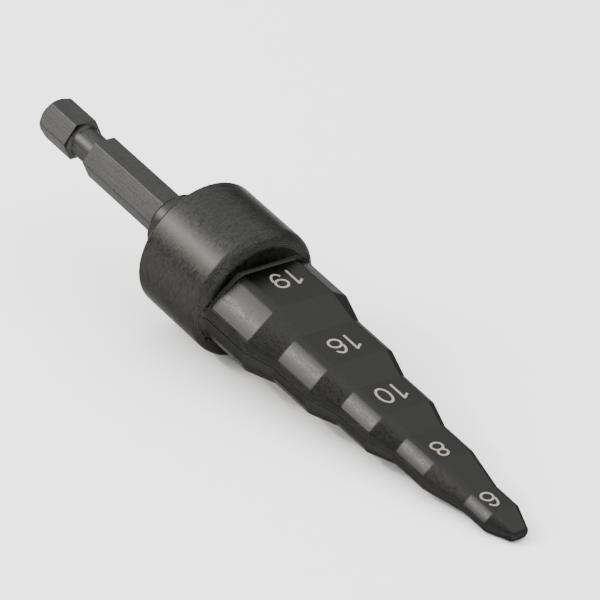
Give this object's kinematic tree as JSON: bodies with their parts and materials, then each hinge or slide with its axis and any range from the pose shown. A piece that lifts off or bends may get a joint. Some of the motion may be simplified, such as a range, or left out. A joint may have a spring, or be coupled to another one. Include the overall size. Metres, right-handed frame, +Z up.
{
  "type": "stepped pipe swaging bit",
  "caption": "Stepped steel bit with a hexagonal drive shank and a stop collar, turned by a drill to widen the ends of soft copper pipes.",
  "frame": {"origin": "on the surface that the bit lies on, under the middle of its bounding box", "axes": "+X is level and points from the drive shank's end to the tip; +Z is up, so the flats that carry the numbers face up and lean forward with the axis by 8.95 degrees; +Y completes the right-handed frame"},
  "size_m": [0.1116, 0.0218, 0.0235],
  "materials": {
    "blackened_steel": "black oxide over a turned and milled surface, satin on the shank and collar, smoother on the steps"
  },
  "bodies": {
    "root": {"swaging_bit": "blackened_steel"}
  },
  "joints": []
}
